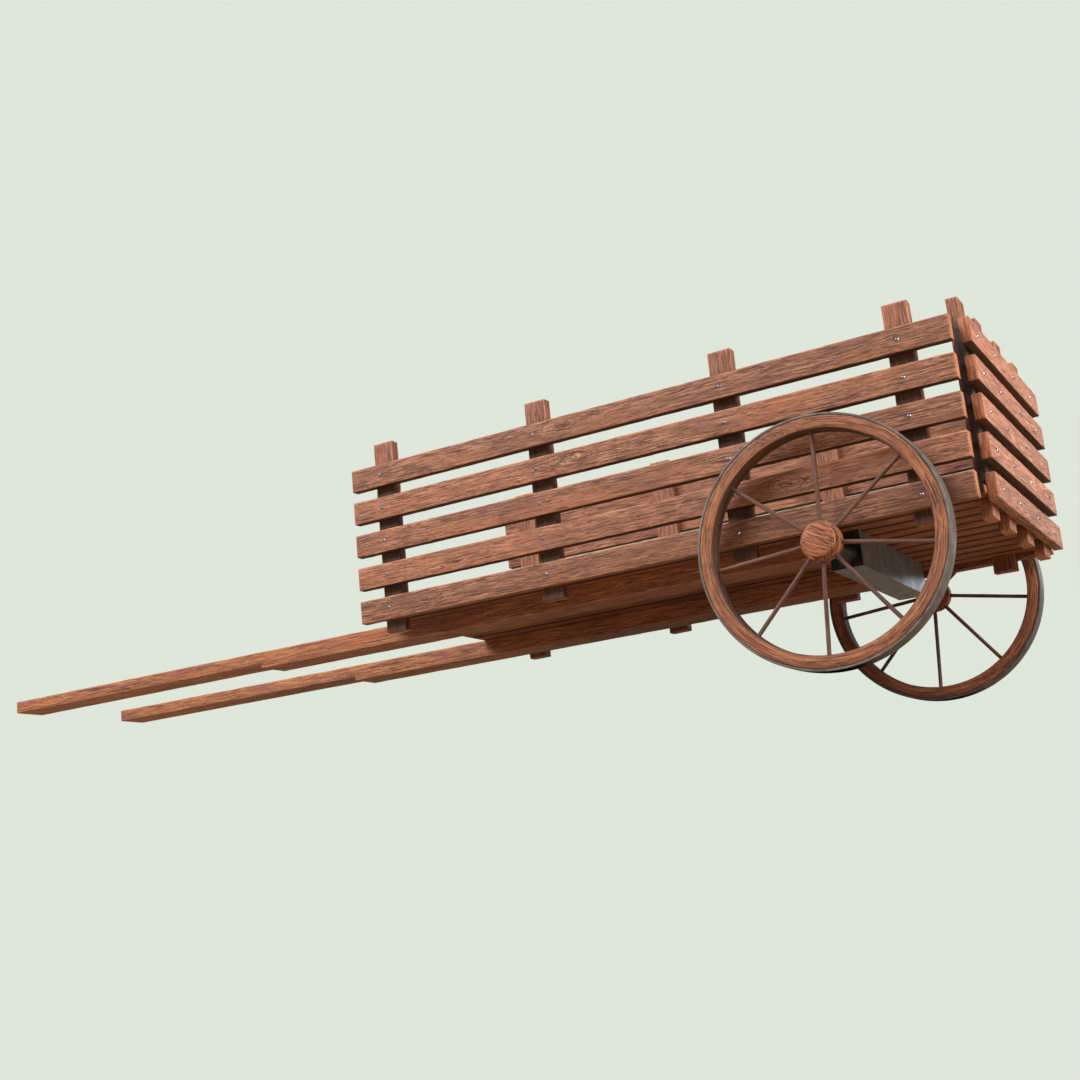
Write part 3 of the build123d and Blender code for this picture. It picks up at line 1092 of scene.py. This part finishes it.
@dataclass
class CargoFloor:
    """Lengthwise boards notched round the posts, and the cleats across them.

    Attributes:
        board_count: How many boards there are.
        cleat_count: How many cleats there are.
        board_finish: The boards' timber.
        cleat_finish: The cleats' timber.
    """

    board_count: int = 11
    cleat_count: int = 5
    board_finish: OiledHardwood = OiledHardwood(
        "oiled hardwood, floor boards",
        tones=Tones(
            deep="#4f2a1a", base="#a15c37", light="#c47846", glow="#cb7a38", blush="#6d3f2b"
        ),
        spacing=(10.0, 0.08836, 2.0),
        origin=(-5.0, -0.486, -1.0),
        roughness=(0.7, 0.9),
        joint=Axis.Y,
    )
    cleat_finish: OiledHardwood = OiledHardwood(
        "oiled hardwood, floor cleats",
        along=Axis.Y,
        spacing=(0.3, 4.0, 2.0),
        origin=(-0.2, -2.0, -1.0),
    )

    def build(self) -> None:
        """Finish the boards and make the cleats."""
        boards = self.board_finish.make()
        for number in range(1, self.board_count + 1):
            refinish(f"floor_board_{number:02d}", boards)
        cleats = self.cleat_finish.make()
        for number in range(1, self.cleat_count + 1):
            node = f"floor_cleat_{number}"
            low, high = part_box(node)
            piece = Timber(f"{node}_batten", low, high, Axis.Y).build()
            dress(piece, cleats, "cart", "floor_wood", node)
        log.info("cargo floor")


@dataclass
class SlattedWalls:
    """The left, right and rear walls: upright posts inside, slats outside.

    Attributes:
        slat_count: How many slats a wall has.
        post_count: How many posts a wall has.
        side_finish: The side slats' timber.
        rear_finish_and_light: The rear slats' timber, partly lightened with painted light.
        post_finish: The side posts' timber.
        rear_painted_shade: The painted shade on the rear posts.
    """

    slat_count: int = 5
    post_count: int = 4
    side_finish: OiledHardwood = OiledHardwood(
        "oiled hardwood, side slats",
        fibre=(72 * MM, 3.6 * MM),
        contrast=1.4,
        tones=Tones(base="#8d583d", light="#b87e5f", glow="#ae6a45", blush="#83523e"),
        eyes=((0.672, -0.515, 0.893), (0.672, -0.515, 0.782), (1.36, -0.515, 0.553)),
        # Painted shade on the slats' downward faces.
        underside=0.8,
    )
    # The rear slats are lighter than the side slats: partly their own tone, partly painted light on
    # the lit rear wall.
    rear_finish_and_light: OiledHardwood = OiledHardwood(
        "oiled hardwood, rear slats",
        along=Axis.Y,
        spacing=(10.0, 4.0, 0.111),
        origin=(-5.0, -2.0, 0.387),
        fibre=(75 * MM, 4 * MM),
        roughness=(0.55, 0.8),
        tones=Tones(
            base="#b0765b",
            light="#cf9779",
            glow="#c48563",
            deep="#6a3f2e",
            worn="#bd7f5b",
            end="#9a5c3c",
        ),
        # Painted shade on the slats' downward faces.
        underside=0.85,
    )
    post_finish: OiledHardwood = OiledHardwood(
        "oiled hardwood, side posts",
        along=Axis.Z,
        spacing=(0.31, 0.12, 4.0),
        origin=(-0.2, 0.02, -2.0),
        fibre=(65 * MM, 4 * MM),
        tones=Tones(base="#8a5238", light="#ab704c", glow="#a8633c", deep="#4b2a1e"),
        # Painted shade on the posts' outer faces, between the slats.
        soil=Soil(Axis.Y, 455 * MM, 480 * MM, 0.72),
    )
    # Painted shade on the rear posts' outer faces, between the slats and above the floor.
    rear_painted_shade: Soil = Soil(Axis.X, 1842 * MM, 1856 * MM, 0.9, bottom=440 * MM, colour="#18110e")

    def raise_wall(self, prefix: str, length: Axis, slats: Material, posts: Material) -> None:
        """Make one wall.

        Args:
            prefix: The first word of the wall's node names.
            length: The direction of its slats.
            slats: The slats' finish.
            posts: The posts' finish.
        """
        for number in range(1, self.slat_count + 1):
            node = f"{prefix}_slat_{number}"
            low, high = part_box(node)
            piece = Timber(f"{node}_board", low, high, length).build()
            dress(piece, slats, "cart", "wall_wood", node)
        for number in range(1, self.post_count + 1):
            node = f"{prefix}_post_{number}"
            low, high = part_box(node)
            piece = Timber(f"{node}_upright", low, high, Axis.Z, arris=2.0 * MM).build()
            dress(piece, posts, "cart", "wall_wood", node)
        log.info("%s wall", prefix)

    def build(self) -> None:
        """Make the three walls."""
        side = self.side_finish.make()
        rear = self.rear_finish_and_light.make()
        post = self.post_finish.make()
        name = "oiled hardwood, rear posts"
        rear_post = replace(self.post_finish, name=name, soil=self.rear_painted_shade).make()
        for wall in Side:
            self.raise_wall(wall.word, Axis.X, side, post)
        self.raise_wall("rear", Axis.Y, rear, rear_post)


@dataclass
class Axle:
    """The box beam, its flanged stub axles, and the nuts that hold the wheels.

    Attributes:
        beam_finish: The beam's steel.
        stub_finish: The steel of the stub axles and the nuts.
    """

    beam_finish: RolledSteel = RolledSteel(
        "scaled steel, axle beam",
        dark="#646c72",
        mid="#7b858c",
        bright="#96a1a8",
        rust_share=0.08,
        roughness=(0.38, 0.5),
        bare=0.55,
    )
    stub_finish: RolledSteel = RolledSteel(
        "oiled steel, stub axles", dark="#1d1e1e", mid="#303231", bright="#55595a", rust_share=0.15
    )

    def build(self) -> None:
        """Finish the axle's steel."""
        refinish("axle_beam", self.beam_finish.make())
        stub = self.stub_finish.make()
        for side in Side:
            refinish(f"{side.word}_stub_axle", stub)
        refinish("axle_nuts", stub)
        log.info("axle")


@dataclass
class Wheel:
    """One spoked wooden wheel with a flat steel tyre.

    Attributes:
        side: The side of the cart that it is on.
        spoke_angles: Where its spokes point, from +X towards +Z.
        spoke_radius: Half a spoke's thickness.
        spoke_offset: How far the spokes are from the cart's middle.
        spoke_in_hub: How deep a spoke sits in the hub.
        spoke_in_rim: How deep a spoke sits in the rim.
        spoke_sides: Faces around a spoke.
        spoke_cuts: Cuts along a spoke.
        rim_inner: The rim's inner radius.
        rim_eye: Where a branch left the left rim's timber.
        tyre_thickness: The tyre's thickness.
        nave_radius: The radius of the hub's inner end.
        nave_end: Where the nave meets the hub, from the cart's middle.
        bore_radius: The radius of the hub's bore.
        counterbore: The radius of the recess for the nut.
        counterbore_start: Where that recess begins, from the cart's middle.
        cap_recess: How deep the cap is hollowed over the nut.
        cap_crown: How far the cap's face rises to its middle.
        rim_tones: The rim's and the hub's colours.
        spoke_tones: The spokes' colours.
        cap_tones: The cap's colours.
        axle: A point on the axle.
    """

    side: Side
    spoke_angles: tuple[float, ...] = (-175.4, -133.7, -94.5, -52.8, -11.0, 38.0, 87.5, 139.7)
    spoke_radius: float = 6 * MM
    spoke_offset: float = 578 * MM
    spoke_in_hub: float = 10 * MM
    spoke_in_rim: float = 8 * MM
    spoke_sides: int = 20
    spoke_cuts: int = 28
    rim_inner: float = 311.6 * MM
    rim_eye: tuple[float, float, float] = (1.357, -0.603, 0.671)
    tyre_thickness: float = 6.4 * MM
    nave_radius: float = 40 * MM
    nave_end: float = 562 * MM
    bore_radius: float = 14.3 * MM
    counterbore: float = 27 * MM
    counterbore_start: float = 578.7 * MM
    cap_recess: float = 8 * MM
    cap_crown: float = 2 * MM
    rim_tones: Tones = Tones(
        base="#985a3a", light="#bc7b50", glow="#b8723f", deep="#52291b", blush="#804a36"
    )
    spoke_tones: Tones = Tones(
        base="#6e4a3e", light="#8a6254", glow="#7c5240", deep="#4a2f28", blush="#5c3f38"
    )
    cap_tones: Tones = Tones(
        base="#9c5c3b", light="#bd754a", glow="#b36a38", deep="#3d1c12", blush="#7a4630"
    )
    axle: Vector = field(init=False)

    def __post_init__(self) -> None:
        """Find the axle from the tyre's box."""
        low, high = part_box(self.node("tyre"))
        self.axle = (low + high) / 2

    def node(self, part: str) -> str:
        """The frame's name for one part of this wheel."""
        return f"{self.side.word}_wheel_{part}"

    def finish(self, name: str, **changes: object) -> Material:
        """Make a wood finish centred on this wheel's axle.

        Args:
            name: What the finish is on.
            changes: Fields of the finish.

        Returns:
            The material.
        """
        # One board spans the whole wheel.
        whole = {"spacing": (10.0, 4.0, 10.0), "origin": (-5.0, -2.0, -5.0)}
        title = f"oiled hardwood, {self.side.word} {name}"
        return OiledHardwood(title, axle=tuple(self.axle), **whole, **changes).make()

    def ring(self, part: str, inner: float, arris: float) -> Piece:
        """Turn a plain ring that fills a node's box.

        Args:
            part: The wheel part's name.
            inner: The ring's inner radius.
            arris: Radius of its rounded edges.

        Returns:
            The finished mesh.
        """
        low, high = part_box(self.node(part))
        outer = (high.z - low.z) / 2
        outline = [(inner, low.y), (outer, low.y), (outer, high.y), (inner, high.y)]
        name = self.node(part) + "_ring"
        return Turning(name, outline, self.axle, arris, steps=128, segments=3).build()

    def make_spokes(self) -> Piece:
        """Turn one spoke, then set a copy at each angle.

        Returns:
            All the spokes as one mesh.
        """
        hub_low, hub_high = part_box(self.node("hub"))
        start = (hub_high.z - hub_low.z) / 2 - self.spoke_in_hub
        end = self.rim_inner + self.spoke_in_rim
        deselect()
        y = self.side.value * self.spoke_offset
        bpy.ops.mesh.primitive_cylinder_add(
            vertices=self.spoke_sides,
            radius=self.spoke_radius,
            depth=end - start,
            location=(self.axle.x + (start + end) / 2, y, self.axle.z),
            rotation=(0, math.pi / 2, 0),
        )
        spoke = bpy.context.object
        bpy.ops.object.transform_apply(location=True, rotation=True, scale=True)
        bpy.ops.object.mode_set(mode="EDIT")
        bpy.ops.mesh.select_mode(type="EDGE")
        bpy.ops.mesh.select_all(action="DESELECT")
        mesh = bmesh.from_edit_mesh(spoke.data)
        for edge in mesh.edges:
            edge.select_set(edge.calc_length() > 2 * self.spoke_radius)
        bmesh.update_edit_mesh(spoke.data)
        bpy.ops.mesh.subdivide(number_cuts=self.spoke_cuts)
        bpy.ops.object.mode_set(mode="OBJECT")
        copies = []
        for angle in self.spoke_angles:
            copy = bpy.data.objects.new(f"spoke_{round(angle)}", spoke.data.copy())
            bpy.context.scene.collection.objects.link(copy)
            turn = Matrix.Rotation(-math.radians(angle), 4, "Y")
            home = Matrix.Translation(self.axle)
            copy.data.transform(home @ turn @ home.inverted())
            copies.append(copy)
        bpy.data.objects.remove(spoke)
        deselect()
        for copy in copies:
            copy.select_set(True)
        bpy.context.view_layer.objects.active = copies[0]
        bpy.ops.object.join()
        piece = bpy.context.object
        piece.name = piece.data.name = self.node("spokes") + "_turned"
        apply_modifier(
            piece,
            "DISPLACE",
            texture=cloud_texture("uneven_rod", 30 * MM),
            texture_coords="LOCAL",
            strength=1.0 * MM,
            mid_level=0.5,
        )
        return piece

    def make_hub(self) -> Piece:
        """Turn the hub with its nave, bore and counterbore.

        Returns:
            The finished mesh.
        """
        low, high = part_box(self.node("hub"))
        outer = (high.z - low.z) / 2
        inward, outward = sorted((abs(low.y), abs(high.y)))
        sign = self.side.value
        outline = [
            (self.bore_radius, sign * inward),
            (self.nave_radius, sign * inward),
            (self.nave_radius, sign * self.nave_end),
            (outer, sign * self.nave_end),
            (outer, sign * outward),
            (self.counterbore, sign * outward),
            (self.counterbore, sign * self.counterbore_start),
            (self.bore_radius, sign * self.counterbore_start),
        ]
        return Turning(self.node("hub") + "_turned", outline, self.axle, 2 * MM, steps=72).build()

    def make_cap(self) -> Piece:
        """Turn the hub's cap, slightly crowned.

        Returns:
            The finished mesh.
        """
        low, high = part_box(self.node("cap"))
        radius = (high.z - low.z) / 2
        inward, outward = sorted((abs(low.y), abs(high.y)))
        sign = self.side.value
        clear = self.bore_radius + 2 * MM
        outline = [
            (0.0, sign * (inward + self.cap_recess)),
            (clear, sign * (inward + self.cap_recess)),
            (clear, sign * inward),
            (radius, sign * inward),
            (radius, sign * (outward - self.cap_crown)),
            (radius * 0.72, sign * (outward - 0.4 * MM)),
            (radius * 0.36, sign * outward),
            (0.0, sign * outward),
        ]
        name = self.node("cap") + "_turned"
        return Turning(name, outline, self.axle, 2.5 * MM, steps=72, segments=3).build()

    def build(self, tyre_finish: Material) -> None:
        """Make the wheel.

        Args:
            tyre_finish: The tyre's steel.
        """
        body = f"{self.side.word}_wheel"
        low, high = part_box(self.node("tyre"))
        tyre_inner = (high.z - low.z) / 2 - self.tyre_thickness
        rim = self.ring("rim", self.rim_inner, 4 * MM)
        rim_finish = self.finish(
            "rim",
            lay=Lay.AROUND_AXLE,
            tones=self.rim_tones,
            ring=7 * MM,
            contrast=1.3,
            eyes=(self.rim_eye,),
            # Painted shade on the rim's inner face, which faces the axle.
            soil=Soil(
                Axis.Y, self.rim_inner + 4 * MM, self.rim_inner + 1 * MM, 0.75, colour="#2c2420"
            ),
        )
        dress(rim, rim_finish, body, "wheel_wood", self.node("rim"))
        tyre = self.ring("tyre", tyre_inner, 1.2 * MM)
        dress(tyre, tyre_finish, body, "tyre_steel", self.node("tyre"))
        spoke_finish = self.finish(
            "spokes",
            lay=Lay.OUT_FROM_AXLE,
            tones=self.spoke_tones,
            contrast=0.6,
            fibre=(60 * MM, 4 * MM),
        )
        dress(self.make_spokes(), spoke_finish, body, "wheel_wood", self.node("spokes"))
        hub_finish = self.finish(
            "hub", tilt=math.radians(60), tones=self.rim_tones, fibre=(60 * MM, 5 * MM)
        )
        dress(self.make_hub(), hub_finish, body, "wheel_wood", self.node("hub"))
        cap_finish = self.finish(
            "hub cap",
            tilt=math.radians(-28),
            tones=self.cap_tones,
            fibre=(90 * MM, 7 * MM),
            contrast=1.7,
        )
        dress(self.make_cap(), cap_finish, body, "wheel_wood", self.node("cap"))
        log.info("%s wheel", self.side.word)


@dataclass
class Studio:
    """A pale floor, soft light and the camera.

    Attributes:
        camera_place: Where the camera stands, below the level of the floor.
        camera_turn: Its turn about x, y and z in degrees.
        lens: Its focal length in millimetres on a 36 mm sensor.
        floor_size: The floor's length and width.
    """

    camera_place: tuple[float, float, float] = (2.6455, -4.4420, -0.5114)
    camera_turn: tuple[float, float, float] = (103.49, 5.46, 29.38)
    lens: float = 49.88
    floor_size: float = 24.0

    def lay_floor(self) -> None:
        """Lay a pale floor that is clear from below, where the camera stands."""
        deselect()
        bpy.ops.mesh.primitive_plane_add(size=self.floor_size, location=(0, 0, 0))
        floor = bpy.context.object
        floor.name = "studio_floor"
        material, tree = start_material("pale matt paper")
        matt = add(tree, "BsdfDiffuse", {"Color": linear("#cfd1ca")})
        even = add(tree, "Emission", {"Color": linear("#dfe6da"), "Strength": 0.85})
        seen = add(tree, "MixShader", (0.55, matt, even))
        bounced = add(tree, "BsdfDiffuse", {"Color": linear("#a8937c")})
        eye = add(tree, "LightPath", out="Is Camera Ray")
        paper = add(tree, "MixShader", (eye, bounced, seen))
        clear = add(tree, "BsdfTransparent")
        behind = add(tree, "NewGeometry", out="Backfacing")
        surface = add(tree, "MixShader", (behind, paper, clear))
        add(tree, "OutputMaterial", {"Surface": surface})
        floor.data.materials.append(material)

    def hang_lamp(
        self, name: str, place: tuple, aim: tuple, size: float, watts: float, colour: str
    ) -> None:
        """Hang one soft lamp.

        Args:
            name: The lamp's name.
            place: Where it hangs.
            aim: The point that it faces.
            size: The width of its panel.
            watts: Its power.
            colour: Its colour.
        """
        light = bpy.data.lights.new(name, "AREA")
        light.shape = "SQUARE"
        light.size = size
        light.energy = watts
        light.color = linear(colour)[:3]
        lamp = bpy.data.objects.new(name, light)
        lamp.location = place
        lamp.rotation_euler = (Vector(aim) - Vector(place)).to_track_quat("-Z", "Y").to_euler()
        bpy.context.scene.collection.objects.link(lamp)

    def set_camera(self) -> None:
        """Stand the camera low beside the cart's rear wheel."""
        lens = bpy.data.cameras.new("camera")
        lens.sensor_width = 36.0
        lens.lens = self.lens
        lens.clip_end = 100.0
        camera = bpy.data.objects.new("camera", lens)
        camera.location = self.camera_place
        camera.rotation_euler = [math.radians(turn) for turn in self.camera_turn]
        bpy.context.scene.collection.objects.link(camera)
        bpy.context.scene.camera = camera

    def light_room(self) -> None:
        """Surround the cart with a pale room that lights it only faintly."""
        world = bpy.data.worlds.new("pale studio")
        world.use_nodes = True
        tree = world.node_tree
        tree.nodes.clear()
        dim = add(tree, "Background", {"Color": linear("#e0e4e2"), "Strength": 0.31})
        pale = add(tree, "Background", {"Color": linear("#dfe6da"), "Strength": 1.0})
        eye = add(tree, "LightPath", out="Is Camera Ray")
        room = add(tree, "MixShader", (eye, dim, pale))
        add(tree, "OutputWorld", {"Surface": room})
        bpy.context.scene.world = world
        bpy.context.scene.view_settings.view_transform = "Standard"

    def build(self) -> None:
        """Set the stage."""
        self.set_camera()
        self.lay_floor()
        self.light_room()
        self.hang_lamp("window", (-2.1, -4.7, 5.2), (-0.3, 0, 0.5), 4.2, 720, "#fffdfa")
        self.hang_lamp("rear window", (6.4, -1.1, 2.9), (1.6, 0, 0.5), 2.2, 430, "#fff6ee")
        self.hang_lamp("side glow", (3.4, 6.2, 1.7), (1.4, 0.2, 0.4), 1.2, 36, "#eaf2ff")
        self.hang_lamp("back glow", (-3.0, 5.0, 4.5), (0.5, 0, 0.6), 3.5, 120, "#eef6ff")
        log.info("studio")


def main() -> None:
    """Build the cart from its shafts outward, then the studio."""
    logging.basicConfig(level=logging.INFO, format="%(message)s")
    Studio().build()
    Shafts().build()
    CargoFloor().build()
    SlattedWalls().build()
    Axle().build()
    tyre_finish = RolledSteel(
        "worn flat steel, tyres",
        dark="#4b4a49",
        mid="#63625f",
        bright="#7d7c79",
        rust_share=0.25,
        bare=0.5,
        scratch=(40 * MM, 5 * MM, 40 * MM),
        roughness=(0.5, 0.72),
    ).make()
    for side in Side:
        Wheel(side).build(tyre_finish)
    refinish("fasteners", ZincPlate("zinc-plated steel, screws and bolts").make())
    log.info("fasteners")


if __name__ == "__main__":
    main()
